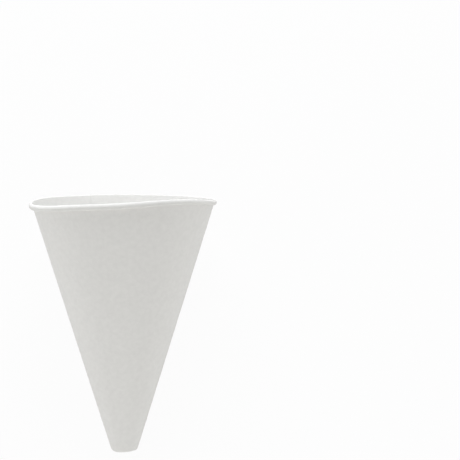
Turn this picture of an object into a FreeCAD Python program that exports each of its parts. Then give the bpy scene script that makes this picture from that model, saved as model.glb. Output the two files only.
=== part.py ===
import FreeCAD, Part

import math
import os

# Cone paper cup with a rolled rim, wound from one sheet of paper, in millimetres.
# The sheet goes once round and laps over itself down one side, where the two layers are glued.
# Its top edge is curled outwards into a hollow roll, and its tip is turned in and pressed shut.
#
# The cup is drawn upright about its own axis, with the tip at height 0.
# An azimuth is an angle about that axis: 0 is the right side, 90 the lapped side that lies down,
# 180 the left side and 270 the side that faces up.
# A depth is measured through the paper, from the face that holds the drink.

# The cone, inside the paper
cup_height = 123.5
mouth_radius = 44.6
tip_radius = 6.05

# The sheet
paper = 0.22
lap_outer_edge = 69.0
lap_inner_edge = 112.0
lap_layers = 2 * paper
joggle_angle = 12.0

# The closed tip
tip_slant = 5.0
tip_corner = 1.5
tip_corner_change = 1.0
pinch_radius = 1.8
pinch_proud = 0.03

# The rolled rim, plump nearly all round and pressed flatter over one stretch.
# A hollow is the radius left inside a bend of all the layers there are, two where the rim is
# plump and one where it is pressed. The side turn is how far the side's arc reaches above and
# below its middle. The curl stops short of the wall by its gap.
roll_top_hollow = 0.2
roll_side_radius = 1.8
roll_side_turn = 44.0
roll_foot_hollow = 0.26
pressed_azimuth = 335.0
pressed_reach = 80.0
pressed_top_hollow = 0.12
pressed_side_turn = 31.0
pressed_foot_hollow = 0.28
curl_gap = 0.3

# The waves of the rim's height: azimuth of the crest or dip, how far it reaches, and its height
rim_waves = [
    (203.0, 60.0, -1.85),
    (302.0, 50.0, 1.6),
    (90.0, 70.0, 0.4),
    (5.0, 45.0, -0.35),
]

# The widest angle that one straight facet of the round sheet covers, and how flat it is
facet_angle = 6.4
flat_within = 0.000000001
sewing_gap = 0.0001

slope = math.atan2(mouth_radius - tip_radius, cup_height - lap_layers)
half_angle = math.degrees(slope)
slant = math.radians(tip_slant)
wall_out = (math.cos(slope), -math.sin(slope))


def step_from(point, direction, distance):
    return (point[0] + direction[0] * distance, point[1] + direction[1] * distance)


def heading(degrees):
    angle = math.radians(degrees)
    return (math.cos(angle), math.sin(angle))


def wave(azimuth, centre, reach):
    """1 at the wave's centre, falling smoothly to 0 at its reach."""
    away = abs((azimuth - centre + 180.0) % 360.0 - 180.0)
    if away >= reach:
        return 0.0
    return 0.5 + 0.5 * math.cos(math.pi * away / reach)


def wall_radius(height):
    """Radius of the face that holds the drink."""
    return mouth_radius - (cup_height - height) * math.tan(slope)


def roll_arcs(azimuth):
    """The curl as three tangent arcs: centre, radius, start and end angle, at depth 0."""
    pressed = wave(azimuth, pressed_azimuth, pressed_reach)
    plump = 1.0 - pressed
    top = (lap_layers + roll_top_hollow) * plump + (paper + pressed_top_hollow) * pressed
    side_turn = roll_side_turn * plump + pressed_side_turn * pressed
    foot = (lap_layers + roll_foot_hollow) * plump + (paper + pressed_foot_hollow) * pressed
    rim = cup_height + sum(size * wave(azimuth, at, reach) for at, reach, size in rim_waves)
    wall_end = rim - top * (1.0 - math.sin(slope))
    top_centre = step_from((wall_radius(wall_end), wall_end), wall_out, top)
    side_centre = step_from(top_centre, heading(side_turn), top - roll_side_radius)
    foot_centre = step_from(side_centre, heading(-side_turn), roll_side_radius - foot)
    foot_from_wall = (foot_centre[0] - wall_radius(foot_centre[1])) * math.cos(slope)
    curl_stop = math.acos(max(-1.0, (lap_layers + curl_gap - foot_from_wall) / foot))
    return [
        (top_centre, top, 180.0 - half_angle, side_turn),
        (side_centre, roll_side_radius, side_turn, -side_turn),
        (foot_centre, foot, -side_turn, -half_angle - math.degrees(curl_stop)),
    ]


def tip_bend(azimuth):
    """The bend between the closed tip and the wall: centre, radius at depth 0, and its start angle."""
    run = math.atan(math.tan(slant) * math.cos(math.radians(azimuth)))
    radius = tip_corner - tip_corner_change * math.cos(math.radians(azimuth))
    corner_radius = tip_radius / (1.0 - math.tan(slope) * math.tan(run))
    corner = (corner_radius, lap_layers + corner_radius * math.tan(run))
    half_corner = 0.5 * (math.pi / 2 + slope + run)
    inwards = run + math.pi - half_corner
    centre = step_from(corner, (math.cos(inwards), math.sin(inwards)), radius / math.sin(half_corner))
    return centre, radius, math.degrees(run) - 90.0


def sheet_edges(azimuth, depth):
    """Edges along the sheet at one depth, from the middle of the tip to the end of the curl."""
    turn = math.radians(azimuth)

    def place(point):
        return FreeCAD.Vector(point[0] * math.cos(turn), point[0] * math.sin(turn), point[1])

    def arc(centre, radius, start, end):
        angles = (start, 0.5 * (start + end), end)
        points = [place(step_from(centre, heading(angle), radius)) for angle in angles]
        return Part.Arc(*points).toShape()

    bend_centre, bend_radius, bend_start = tip_bend(azimuth)
    floor_end = step_from(bend_centre, heading(bend_start), bend_radius + depth)
    floor_run = heading(bend_start + 90.0)
    floor_start = step_from(floor_end, floor_run, (0.5 * pinch_radius - floor_end[0]) / floor_run[0])
    bend = arc(bend_centre, bend_radius + depth, bend_start, -half_angle)
    curl = [arc(centre, radius - depth, start, end) for centre, radius, start, end in roll_arcs(azimuth)]
    floor = Part.makeLine(place(floor_start), bend.firstVertex(True).Point)
    wall = Part.makeLine(bend.lastVertex(True).Point, curl[0].firstVertex(True).Point)
    return [floor, bend, wall] + curl


def outline(azimuth, inner_depth, outer_depth):
    """Closed outline of the paper where a half plane through the axis cuts it."""
    inner = sheet_edges(azimuth, inner_depth)
    outer = sheet_edges(azimuth, outer_depth)
    curl_end = Part.makeLine(inner[-1].lastVertex(True).Point, outer[-1].lastVertex(True).Point)
    tip_end = Part.makeLine(outer[0].firstVertex(True).Point, inner[0].firstVertex(True).Point)
    return Part.Wire(Part.sortEdges(inner + [curl_end] + outer + [tip_end])[0])


def stations(start, end, start_depth, end_depth):
    """Evenly spaced azimuths from one to another, each with the depth of the sheet's inner face."""
    steps = math.ceil((end - start) / facet_angle)
    turn = (end - start) / steps
    deepening = (end_depth - start_depth) / steps
    return [(start + step * turn, start_depth + step * deepening) for step in range(steps + 1)]


def flattened(face):
    """A straight facet of the cone made a true plane; any other face stays as it is."""
    if not isinstance(face.Surface, Part.BSplineSurface) or face.Surface.NbUPoles > 2:
        return face
    first, second, third, fourth = [vertex.Point for vertex in face.OuterWire.OrderedVertexes]
    normal = (second - first).cross(third - first).normalize()
    if abs(normal.dot(fourth - first)) > flat_within:
        return face
    return Part.Face(Part.makePolygon([first, second, third, fourth, first]))


def wound_stretch(places, thickness):
    """Solid stretch of the sheet, whose cone is flat facets between straight creases."""
    outlines = [outline(azimuth, depth, depth + thickness) for azimuth, depth in places]
    loft = Part.makeLoft(outlines, True, True)
    shell = Part.makeCompound([flattened(face) for face in loft.Faces])
    shell.sewShape(sewing_gap)
    return Part.Solid(shell.Shells[0])


def build_cup():
    joggle = stations(lap_inner_edge, lap_inner_edge + joggle_angle, paper, 0.0)
    round_wall = stations(lap_inner_edge + joggle_angle, lap_outer_edge + 360.0, 0.0, 0.0)
    single = wound_stretch(joggle + round_wall[1:], paper)
    lap = wound_stretch(stations(lap_outer_edge, lap_inner_edge, 0.0, 0.0), lap_layers)
    pinch_axis = FreeCAD.Vector(-math.sin(slant), 0, math.cos(slant))
    pinch_base = pinch_axis * -pinch_proud
    pinch = Part.makeCylinder(pinch_radius, lap_layers + 2 * pinch_proud, pinch_base, pinch_axis)
    return single.fuse([lap, pinch])


def lay_down(cup):
    """Lay the upright cup on its lapped side, mouth towards +Y, resting on its roll and its tip."""
    roll_centre, roll_reach = roll_arcs(90.0)[1][:2]
    bend_centre, bend_radius = tip_bend(90.0)[:2]
    tip_reach = bend_radius + lap_layers
    across = roll_centre[0] - bend_centre[0]
    along = roll_centre[1] - bend_centre[1]
    lean = math.atan2(across, along) + math.asin((roll_reach - tip_reach) / math.hypot(across, along))
    cup.rotate(FreeCAD.Vector(0, 0, 0), FreeCAD.Vector(1, 0, 0), math.degrees(lean) - 90.0)
    box = cup.optimalBoundingBox(False, False)
    cup.translate(FreeCAD.Vector(-box.Center.x, -box.Center.y, -box.ZMin))
    return math.degrees(lean)


os.makedirs("parts", exist_ok=True)
paper_cup = build_cup()
axis_lean = lay_down(paper_cup)
paper_cup.exportStep("parts/paper_cup.step")

extent = paper_cup.optimalBoundingBox(False, False)
print("solids %d, valid %s" % (len(paper_cup.Solids), paper_cup.isValid()))
print("box %.2f x %.2f x %.2f mm" % (extent.XLength, extent.YLength, extent.ZLength))
print("paper volume %.0f mm3, axis leans %.2f degrees from the floor" % (paper_cup.Volume, axis_lean))
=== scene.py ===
# %% [markdown]
# # A cone paper cup with a rolled rim
# This lesson dresses a paper cup that was built as a solid in CAD. The solid has the right size
# and place, but its round wall is made of narrow flats. Here one sheet of paper is drawn, wound
# and curled as the real cup is made, and it takes the solid's place on screen.
# The cup lies on its side, because a cone has no foot to stand on. The camera looks down on it.

import math

import bmesh
import bpy
from mathutils import Matrix, Vector


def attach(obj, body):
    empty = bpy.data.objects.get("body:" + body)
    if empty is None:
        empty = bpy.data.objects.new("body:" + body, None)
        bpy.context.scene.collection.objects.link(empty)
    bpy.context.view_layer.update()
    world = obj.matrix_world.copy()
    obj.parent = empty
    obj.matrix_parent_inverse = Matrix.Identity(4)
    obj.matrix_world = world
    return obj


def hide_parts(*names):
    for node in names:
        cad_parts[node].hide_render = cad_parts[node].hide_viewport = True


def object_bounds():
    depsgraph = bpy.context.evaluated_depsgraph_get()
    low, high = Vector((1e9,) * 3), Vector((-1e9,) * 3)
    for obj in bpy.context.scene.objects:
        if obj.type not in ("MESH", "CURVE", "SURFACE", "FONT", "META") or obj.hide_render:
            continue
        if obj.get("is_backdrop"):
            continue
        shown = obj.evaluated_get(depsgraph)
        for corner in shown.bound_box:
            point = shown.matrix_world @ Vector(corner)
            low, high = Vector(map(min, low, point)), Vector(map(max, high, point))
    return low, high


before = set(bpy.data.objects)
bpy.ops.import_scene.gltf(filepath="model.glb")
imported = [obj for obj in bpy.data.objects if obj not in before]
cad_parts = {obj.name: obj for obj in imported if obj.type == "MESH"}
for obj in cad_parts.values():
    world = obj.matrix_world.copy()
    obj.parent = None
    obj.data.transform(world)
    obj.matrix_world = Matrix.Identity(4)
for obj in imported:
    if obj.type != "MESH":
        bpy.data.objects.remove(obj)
cad_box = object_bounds()
MM = 0.001

for name, corner in (("lowest", cad_box[0]), ("highest", cad_box[1])):
    print(name, "corner of the CAD cup in mm:", [round(value / MM, 2) for value in corner])

# %% [markdown]
# ## The camera
# A lens of 119 mm a good arm's length away gives the flat, slightly foreshortened look of a
# catalogue picture. The cup lies with its mouth away from us, so the picture's up is +Y on the
# floor. The camera points to the right of the cup, because the cup stands left of the middle.

# %% Camera
CAMERA_PLACE_MM = (0.10, -143.41, 758.59)
CAMERA_TURN_DEG = (14.196, -3.821, -1.245)

camera_data = bpy.data.cameras.new("camera")
camera_data.sensor_width = 36.0
camera_data.lens = 119.0
camera_data.clip_start = 0.05
camera_data.clip_end = 20.0
camera = bpy.data.objects.new("camera", camera_data)
camera.location = Vector(CAMERA_PLACE_MM) * MM
camera.rotation_euler = [math.radians(turn) for turn in CAMERA_TURN_DEG]
bpy.context.scene.collection.objects.link(camera)
bpy.context.scene.camera = camera
print("camera height above the floor: %.0f mm" % CAMERA_PLACE_MM[2])

# %% [markdown]
# ## The sizes of the cup
# These are the sizes of the CAD solid, in millimetres and degrees, for a cup that stands upright
# on its tip with its axis on Z. Azimuths turn about that axis: 90 is the side it will lie on.
# Paper has a real thickness, and where the sheet laps over itself there are two layers of it.

# %% Sizes
CUP_HEIGHT = 123.5
MOUTH_RADIUS = 44.6
TIP_RADIUS = 6.05
PAPER = 0.22
LAP_LAYERS = 2 * PAPER
LAP_OUTER_EDGE = 69.0
LAP_INNER_EDGE = 112.0
JOGGLE_TURN = 12.0
SLOPE = math.atan2(MOUTH_RADIUS - TIP_RADIUS, CUP_HEIGHT - LAP_LAYERS)
print("the wall leans out by %.2f degrees" % math.degrees(SLOPE))

# %% [markdown]
# ## The section of the sheet
# A section is the line that the paper follows from the middle of the tip, round the bend, up the
# wall and through the curl. Straight runs are an extruded vertex, and each bend is a vertex spun
# about the middle of the bend, the way a wire is bent round a peg. The depth says how far through
# the paper the line runs, so that the outer layer of the lap can be drawn with the same function.

# %% Draw a section
TIP_START = 0.9
FLOOR_RUNS = 4
BEND_STEPS = 5
WALL_RUNS = 30
CURL_STEPS = (9, 12, 8)
CURL_GAP = 0.3
SIDE_RADIUS = 1.8


def extend(mesh, vert, target, runs):
    """Straight runs from a vertex to a target point, and the new vertices."""
    line = [vert]
    step = (Vector(target) - vert.co) / runs
    for _ in range(runs):
        grown = bmesh.ops.extrude_vert_indiv(mesh, verts=[line[-1]])["verts"]
        bmesh.ops.translate(mesh, verts=grown, vec=step)
        line += grown
    return line[1:]


def bend(mesh, vert, middle, turn, steps):
    """An arc from a vertex about a middle, clockwise for a positive turn, and the new vertices."""
    line = [vert]
    for _ in range(steps):
        grown = bmesh.ops.extrude_vert_indiv(mesh, verts=[line[-1]])["verts"]
        spin = Matrix.Rotation(turn / steps, 3, "Y")
        bmesh.ops.rotate(mesh, verts=grown, cent=middle, matrix=spin)
        line += grown
    return line[1:]


def wall_point(height, depth):
    """A point of the cone's wall at a height and a depth."""
    radius = MOUTH_RADIUS - (CUP_HEIGHT - height) * math.tan(SLOPE)
    return Vector((radius + depth * math.cos(SLOPE), 0.0, height - depth * math.sin(SLOPE)))


def outwards(degrees, distance):
    """A step of some length in a direction of the section's plane."""
    angle = math.radians(degrees)
    return Vector((math.cos(angle), 0.0, math.sin(angle))) * distance


def draw_section(mesh, depth, corner, top, side_turn, foot):
    """The paper's line at a depth. The corner, top and foot are radii at the drink's side."""
    lean = math.degrees(SLOPE)
    shift = corner * (1.0 - math.sin(SLOPE)) / math.cos(SLOPE)
    corner_middle = Vector((TIP_RADIUS - shift, 0.0, LAP_LAYERS + corner))
    start = mesh.verts.new((TIP_START, 0.0, LAP_LAYERS - depth))
    line = [start]
    line += extend(mesh, line[-1], corner_middle + outwards(-90.0, corner + depth), FLOOR_RUNS)
    line += bend(mesh, line[-1], corner_middle, -math.radians(90.0 - lean), BEND_STEPS)
    wall_end = CUP_HEIGHT - top * (1.0 - math.sin(SLOPE))
    line += extend(mesh, line[-1], wall_point(wall_end, depth), WALL_RUNS)
    top_middle = wall_point(wall_end, top)
    side_middle = top_middle + outwards(side_turn, top - SIDE_RADIUS)
    foot_middle = side_middle + outwards(-side_turn, SIDE_RADIUS - foot)
    off_wall = (foot_middle - wall_point(foot_middle.z, 0.0)).x * math.cos(SLOPE)
    last = lean + math.degrees(math.acos(max(-1.0, (LAP_LAYERS + CURL_GAP - off_wall) / foot)))
    turns = (180.0 - lean - side_turn, 2.0 * side_turn, last - side_turn)
    for middle, turn, steps in zip((top_middle, side_middle, foot_middle), turns, CURL_STEPS):
        line += bend(mesh, line[-1], middle, math.radians(turn), steps)
    return line


def section_points(**sizes):
    """The same line as plain points, drawn on a mesh that is thrown away."""
    scratch = bmesh.new()
    points = [vert.co.copy() for vert in draw_section(scratch, **sizes)]
    scratch.free()
    return points


# %% [markdown]
# ## Three sections of one sheet
# The rim is plump nearly all round, but pressed flatter over one stretch, where it was held.
# The tip's corner is rounder on the left than on the right. The second section has both tight,
# and the third is the plump one a layer further out. A bend's radius is the paper inside it plus a
# small hollow: two layers where the rim is plump, one where it is pressed. Each section has the
# same number of points, so a point of the wound sheet can slide from one to another, as a shape
# key does.

# %% Plump, tight and outer sections
PLUMP = {
    "depth": 0.0, "corner": 2.5, "top": LAP_LAYERS + 0.2, "side_turn": 44.0,
    "foot": LAP_LAYERS + 0.26,
}
TIGHT = {
    "depth": 0.0, "corner": 0.5, "top": PAPER + 0.12, "side_turn": 31.0,
    "foot": PAPER + 0.28,
}
OUTER = dict(PLUMP, depth=PAPER)

plump_points = section_points(**PLUMP)
tight_points = section_points(**TIGHT)
outer_points = section_points(**OUTER)
ROWS = len(plump_points)
TIP_ROWS = 1 + FLOOR_RUNS + BEND_STEPS
WALL_ROWS = TIP_ROWS + WALL_RUNS
print("points in a section:", ROWS, len(tight_points), len(outer_points))
print("the roll's height is %.2f mm, or %.2f mm where it is pressed" % tuple(
    max(point.z for point in points) - min(point.z for point in points[WALL_ROWS:])
    for points in (plump_points, tight_points)))

# %% [markdown]
# ## Winding the sheet
# A spin carries the section round the axis. The sheet goes more than once round: it starts at the
# edge that lies inside the cup and ends, after a full turn and the width of the lap, on the
# outside. So the spin isn't merged, because its two ends are two real edges of the paper.

# %% Wind the sheet
TURN_STEP = 1.5
WOUND_TURN = 360.0 + LAP_INNER_EDGE - LAP_OUTER_EDGE
COLUMNS = round(WOUND_TURN / TURN_STEP)

sheet = bmesh.new()
draw_section(sheet, **PLUMP)
start_turn = Matrix.Rotation(math.radians(LAP_INNER_EDGE), 3, "Z")
bmesh.ops.rotate(sheet, verts=sheet.verts[:], cent=(0, 0, 0), matrix=start_turn)
bmesh.ops.spin(
    sheet, geom=sheet.verts[:] + sheet.edges[:], cent=(0, 0, 0), axis=(0, 0, -1),
    angle=math.radians(WOUND_TURN), steps=COLUMNS, use_merge=False)
sheet.verts.index_update()
sheet.verts.ensure_lookup_table()
last_vert = sheet.verts[COLUMNS * ROWS]
print("columns of points:", len(sheet.verts) / ROWS)
print("the sheet ends at azimuth %.1f" % math.degrees(math.atan2(last_vert.co.y, last_vert.co.x)))

# %% [markdown]
# ## Shaping the wound sheet
# The wound sheet is a plain cone so far. Each point now slides by small amounts that depend on its
# azimuth: towards the tight section, towards the outer layer past the joggle, and up or down the
# wall with the waves of the rim. The tip's floor slants, and carries the shallow pleats that paper
# gets when it is gathered and pressed shut. A last touch draws all points in by less than two
# thousandths, because the CAD cup's flats lie a hair inside its true round.

# %% Shape the sheet
PRESSED = (335.0, 80.0)
RIM_WAVES = [(203.0, 60.0, -1.85), (302.0, 50.0, 1.6), (90.0, 70.0, 0.4), (5.0, 45.0, -0.35)]
TIP_SLANT = math.radians(5.0)
SLANT_FADE_ROWS = 4
PLEATS = 11
PLEAT_DEPTH = 0.16
KEEP_INSIDE = Vector((0.9985, 0.9985, 1.0))


def wave(azimuth, centre, reach):
    """1 at the wave's centre, falling smoothly to 0 at its reach."""
    away = abs((azimuth - centre + 180.0) % 360.0 - 180.0)
    if away >= reach:
        return 0.0
    return 0.5 + 0.5 * math.cos(math.pi * away / reach)


def smooth_step(value):
    """0 below 0 and 1 above 1, with an easy rise between them."""
    value = min(1.0, max(0.0, value))
    return value * value * (3.0 - 2.0 * value)


def shaped(row, azimuth, layer):
    """Where a point of the section goes at an azimuth. The layer is 0 inside and 1 outside."""
    angle = math.radians(azimuth)
    tight = 0.0
    if row >= WALL_ROWS:
        tight = wave(azimuth, *PRESSED)
    elif row < TIP_ROWS:
        tight = 0.5 + 0.5 * math.cos(angle)
    point = plump_points[row].lerp(tight_points[row], tight)
    point = point + (outer_points[row] - plump_points[row]) * layer
    rows_up = row - TIP_ROWS + 1
    up_wall = Vector((math.tan(SLOPE), 0.0, 1.0))
    rim_rise = sum(size * wave(azimuth, at, reach) for at, reach, size in RIM_WAVES)
    rise_share = min(1.0, max(0.0, rows_up / (WALL_ROWS - TIP_ROWS)))
    point = point + up_wall * rise_share * rim_rise
    slant_rise = TIP_RADIUS * math.tan(TIP_SLANT) * math.cos(angle)
    slant_share = min(1.0, point.x / TIP_RADIUS) * (1.0 - smooth_step(rows_up / SLANT_FADE_ROWS))
    point = point + up_wall * slant_share * slant_rise
    if row <= FLOOR_RUNS:
        floor_share = row / FLOOR_RUNS
        pleat = 0.5 + 0.5 * math.cos(PLEATS * angle)
        point.z += PLEAT_DEPTH * pleat * math.sin(math.pi * floor_share)
    return Matrix.Rotation(angle, 3, "Z") @ point


for vert in sheet.verts:
    column, row = divmod(vert.index, ROWS)
    azimuth = LAP_INNER_EDGE - column * WOUND_TURN / COLUMNS
    past_joggle = (LAP_INNER_EDGE + JOGGLE_TURN - 360.0 - azimuth) / JOGGLE_TURN
    vert.co = shaped(row, azimuth, smooth_step(past_joggle)) * KEEP_INSIDE

# %% [markdown]
# ## Thickness, and the pressed middle of the tip
# The drawn line is the face of the paper that holds the drink. Solidify copies it outwards by the
# paper's thickness and closes it along the cut edges, which stay sharp. It needs to know which way
# the faces look, and the points have moved since the faces were made, so the normals are worked
# out afresh first. The paper is drawn a touch thinner than the layers' spacing, so that the two
# layers of the lap don't share a face.
# The middle of the tip is a small pressed pad, a disc with rounded edges, because the gathered
# paper there is squeezed into one lump.

# %% Give the sheet its thickness
SOLID_PAPER = 0.21
SHARP_CORNER = math.radians(40.0)
MIDDLE_OF_WALL = (0.3 * CUP_HEIGHT, 0.7 * CUP_HEIGHT)

sheet.normal_update()
bmesh.ops.recalc_face_normals(sheet, faces=sheet.faces[:])
sheet.normal_update()
looks_out = 0.0
for face in sheet.faces:
    middle = face.calc_center_median()
    if MIDDLE_OF_WALL[0] < middle.z < MIDDLE_OF_WALL[1]:
        looks_out += face.normal.x * middle.x + face.normal.y * middle.y
if looks_out > 0.0:
    bmesh.ops.reverse_faces(sheet, faces=sheet.faces[:])
    sheet.normal_update()
print("the wall's faces looked outwards:", looks_out > 0.0)
bmesh.ops.solidify(sheet, geom=sheet.faces[:], thickness=SOLID_PAPER)
sheet.normal_update()
bmesh.ops.recalc_face_normals(sheet, faces=sheet.faces[:])
print("paper volume %.0f mm3, faces %d" % (sheet.calc_volume(), len(sheet.faces)))

# %% Press the pad at the tip
PAD_RADIUS = 1.76
PAD_TOP = LAP_LAYERS + 0.02
PAD_PROUD = 0.02
PAD_EDGE = 0.1
PAD_SIDES = 36
PAD_EDGE_STEPS = 3

pad = bmesh.new()
bmesh.ops.create_circle(pad, cap_ends=True, segments=PAD_SIDES, radius=PAD_RADIUS)
copied = bmesh.ops.extrude_face_region(pad, geom=pad.faces[:], use_keep_orig=True)["geom"]
top_verts = [item for item in copied if isinstance(item, bmesh.types.BMVert)]
bmesh.ops.translate(pad, verts=top_verts, vec=(0, 0, PAD_TOP + PAD_PROUD))
pad.normal_update()
bmesh.ops.recalc_face_normals(pad, faces=pad.faces[:])
round_edges = [edge for edge in pad.edges if edge.calc_face_angle(0.0) > SHARP_CORNER]
bmesh.ops.bevel(
    pad, geom=round_edges, offset=PAD_EDGE, offset_type="OFFSET", affect="EDGES",
    segments=PAD_EDGE_STEPS, profile=0.5, material=-1)
bmesh.ops.translate(pad, verts=pad.verts[:], vec=(0, 0, -PAD_PROUD))
pad_slant = Matrix.Rotation(-TIP_SLANT, 3, "Y")
bmesh.ops.rotate(pad, verts=pad.verts[:], cent=(0, 0, 0), matrix=pad_slant)
print("pad volume %.1f mm3" % pad.calc_volume())

# %% [markdown]
# ## Laying the cup down
# Both shapes go into one mesh, in metres. The cup is turned until its rim and its tip touch the
# floor and moved to its place in the frame. The turning is done to the points of the mesh, so the
# object itself stays at the origin, unturned.

# %% Lay the cup down and make it an object
LIE_DOWN_DEG = -71.9534
LIE_PLACE_MM = (0.097, -65.202, 6.037)


def add_to(mesh, part):
    """Copy a shape into a larger one and let the shape itself go."""
    scratch = bpy.data.meshes.new("scratch")
    part.to_mesh(scratch)
    mesh.from_mesh(scratch)
    bpy.data.meshes.remove(scratch)
    part.free()


cup_shape = bmesh.new()
for part in (sheet, pad):
    add_to(cup_shape, part)
lie_down = Matrix.Rotation(math.radians(LIE_DOWN_DEG), 3, "X")
bmesh.ops.rotate(cup_shape, verts=cup_shape.verts[:], cent=(0, 0, 0), matrix=lie_down)
bmesh.ops.translate(cup_shape, verts=cup_shape.verts[:], vec=LIE_PLACE_MM)
bmesh.ops.scale(cup_shape, verts=cup_shape.verts[:], vec=(MM, MM, MM))
cup_shape.normal_update()
for face in cup_shape.faces:
    face.smooth = True
for edge in cup_shape.edges:
    edge.smooth = edge.calc_face_angle(0.0) < SHARP_CORNER

cup_mesh = bpy.data.meshes.new("wound_paper_cup")
cup_shape.to_mesh(cup_mesh)
cup_shape.free()
cup = bpy.data.objects.new("wound_paper_cup", cup_mesh)
bpy.context.scene.collection.objects.link(cup)
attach(cup, "root")
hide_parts("paper_cup")
print("polygons of the cup:", len(cup_mesh.polygons))

# %% [markdown]
# ## The paper
# The real sheet is bleached cup paper: wood fibre pressed smooth between rolls, with no gloss.
# Up close its fibres lie in faint clouds a millimetre or two across, a little lighter and darker,
# and the surface has a very fine tooth. So the colour is nearly flat, the roughness is high, and
# two noise patterns give the clouds and the tooth. Paper's fibre bends light like plastic does,
# which an IOR of 1.5 says.

# %% A helper for nodes and colours
def linear(hex_colour):
    """An sRGB hex value as the linear colour that a shader works with."""
    values = [int(hex_colour[place:place + 2], 16) / 255.0 for place in (1, 3, 5)]
    return [v / 12.92 if v <= 0.04045 else ((v + 0.055) / 1.055) ** 2.4 for v in values] + [1.0]


def add_node(tree, kind, settings=None, inputs=None, links=None):
    """A node with its settings, its input values and the sockets that feed it."""
    node = tree.nodes.new(kind)
    for key, value in (settings or {}).items():
        setattr(node, key, value)
    for key, value in (inputs or {}).items():
        node.inputs[key].default_value = value
    for key, socket in (links or {}).items():
        tree.links.new(socket, node.inputs[key])
    return node


def new_material(name):
    """An empty material and its node tree."""
    material = bpy.data.materials.new(name)
    material.use_nodes = True
    material.node_tree.nodes.clear()
    return material, material.node_tree


# %% Bleached cup paper
CLOUD_SIZE_MM = 2.2
DARKER_CLOUD = "#E6E5E1"
LIGHTER_CLOUD = "#EBEAE6"
TOOTH_SIZE_MM = 0.35
TOOTH_DEPTH_MM = 0.02
TOOTH_STRENGTH = 0.25

cup_paper, tree = new_material("bleached_cup_paper")
place = add_node(tree, "ShaderNodeTexCoord")
clouds = add_node(
    tree, "ShaderNodeTexNoise", inputs={"Scale": 1.0 / (CLOUD_SIZE_MM * MM), "Detail": 4.0},
    links={"Vector": place.outputs["Object"]})
tooth = add_node(
    tree, "ShaderNodeTexNoise", inputs={"Scale": 1.0 / (TOOTH_SIZE_MM * MM), "Detail": 3.0},
    links={"Vector": place.outputs["Object"]})
colour = add_node(tree, "ShaderNodeValToRGB", links={"Fac": clouds.outputs["Fac"]})
colour.color_ramp.elements[0].position = 0.3
colour.color_ramp.elements[0].color = linear(DARKER_CLOUD)
colour.color_ramp.elements[1].position = 0.7
colour.color_ramp.elements[1].color = linear(LIGHTER_CLOUD)
bumps = add_node(
    tree, "ShaderNodeBump",
    inputs={"Strength": TOOTH_STRENGTH, "Distance": TOOTH_DEPTH_MM * MM},
    links={"Height": tooth.outputs["Fac"]})
paper = add_node(
    tree, "ShaderNodeBsdfPrincipled", inputs={"Roughness": 0.85, "IOR": 1.5},
    links={"Base Color": colour.outputs["Color"], "Normal": bumps.outputs["Normal"]})
add_node(tree, "ShaderNodeOutputMaterial", links={"Surface": paper.outputs["BSDF"]})
cup_mesh.materials.append(cup_paper)

# %% [markdown]
# ## Floor, background and light
# The floor is plain and pale. For the camera it is mostly a plain white, with part of its real
# shade mixed in, so the cup's shadow stays but the picture has the white ground of a catalogue.

# %% Floor
FLOOR_HALF_SIZE = 1.5
FLOOR_WHITE_SHARE = 0.95
FLOOR_SHADE = "#D8D8D8"

floor_shape = bmesh.new()
bmesh.ops.create_grid(floor_shape, x_segments=1, y_segments=1, size=FLOOR_HALF_SIZE)
floor_mesh = bpy.data.meshes.new("floor")
floor_shape.to_mesh(floor_mesh)
floor_shape.free()
floor = bpy.data.objects.new("floor", floor_mesh)
bpy.context.scene.collection.objects.link(floor)
floor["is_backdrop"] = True

floor_paint, tree = new_material("pale_floor")
ray = add_node(tree, "ShaderNodeLightPath")
seen = add_node(
    tree, "ShaderNodeMath", {"operation": "MAXIMUM"},
    links={0: ray.outputs["Is Camera Ray"], 1: ray.outputs["Is Glossy Ray"]})
share = add_node(
    tree, "ShaderNodeMath", {"operation": "MULTIPLY"}, {1: FLOOR_WHITE_SHARE},
    {0: seen.outputs["Value"]})
matt = add_node(tree, "ShaderNodeBsdfDiffuse", inputs={"Color": linear(FLOOR_SHADE)})
white = add_node(
    tree, "ShaderNodeEmission", inputs={"Color": (1, 1, 1, 1), "Strength": 1.0})
mixed = add_node(
    tree, "ShaderNodeMixShader",
    links={0: share.outputs["Value"], 1: matt.outputs["BSDF"], 2: white.outputs["Emission"]})
add_node(tree, "ShaderNodeOutputMaterial", links={"Surface": mixed.outputs["Shader"]})
floor_mesh.materials.append(floor_paint)

# %% [markdown]
# ## Soft light
# Four large lamps stand round the cup as soft boxes stand round a product: one beyond the mouth,
# one at each side and one beyond the tip. Their light comes in low, so the middle of the cone,
# which faces the camera, is the darkest part of the wall, and its sides and the rolled rim are
# brighter. The lamp beyond the tip is nearer, so the wall gets a little darker towards the rim. The
# lamp beyond the mouth is a touch cooler, which keeps the rim a clean white. The sky fills the
# shadows; the camera sees it as plain white.

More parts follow.
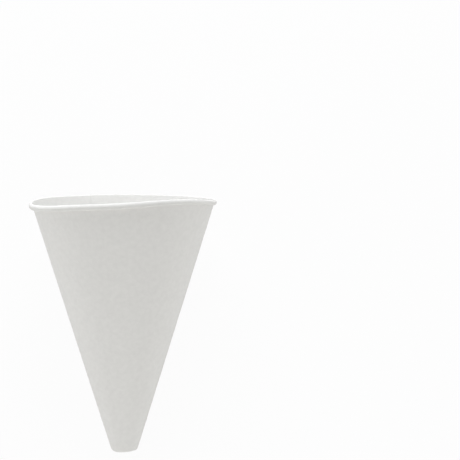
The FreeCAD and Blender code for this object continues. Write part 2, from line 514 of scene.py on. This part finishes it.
# %% Lamps
COOL_WHITE = "#F8FAFF"
WHITE = "#FFFFFF"
LAMPS = {
    "mouth_lamp": {"place": (-0.06, 0.9, 0.5), "size": 0.8, "watts": 12.2, "colour": COOL_WHITE},
    "left_lamp": {"place": (-0.9, -0.4, 0.2), "size": 0.7, "watts": 4.1, "colour": WHITE},
    "right_lamp": {"place": (0.9, -0.4, 0.2), "size": 0.7, "watts": 3.9, "colour": WHITE},
    "tip_lamp": {"place": (0.0, -0.6, 0.4), "size": 0.4, "watts": 1.0, "colour": WHITE},
}
LAMPS_AIM = Vector((0.0, 0.0, 0.04))
SKY_STRENGTH = 0.315

for name, lamp in LAMPS.items():
    light = bpy.data.lights.new(name, "AREA")
    light.size = lamp["size"]
    light.energy = lamp["watts"]
    light.color = linear(lamp["colour"])[:3]
    holder = bpy.data.objects.new(name, light)
    holder.location = lamp["place"]
    aim = LAMPS_AIM - holder.location
    holder.rotation_euler = aim.to_track_quat("-Z", "Y").to_euler()
    bpy.context.scene.collection.objects.link(holder)
    print(name, "stands %.2f m from the cup" % aim.length)

world = bpy.data.worlds.new("studio")
world.use_nodes = True
world.node_tree.nodes.clear()
ray = add_node(world.node_tree, "ShaderNodeLightPath")
sky_seen = add_node(
    world.node_tree, "ShaderNodeMath", {"operation": "MAXIMUM"}, {1: SKY_STRENGTH},
    {0: ray.outputs["Is Camera Ray"]})
sky = add_node(
    world.node_tree, "ShaderNodeBackground", inputs={"Color": (1, 1, 1, 1)},
    links={"Strength": sky_seen.outputs["Value"]})
add_node(world.node_tree, "ShaderNodeOutputWorld", links={"Surface": sky.outputs["Background"]})
bpy.context.scene.world = world
bpy.context.scene.view_settings.view_transform = "Standard"

# %% [markdown]
# ## Checking the size
# The dressed cup must fit in the CAD cup's box. Both boxes are written down to be compared.

# %% Write the sizes and finish
cup_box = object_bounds()
for name, inner, outer in zip(("lowest", "highest"), cup_box, cad_box):
    apart = [round((a - b) / MM, 3) for a, b in zip(inner, outer)]
    print(name, "corner against the CAD in mm:", apart)
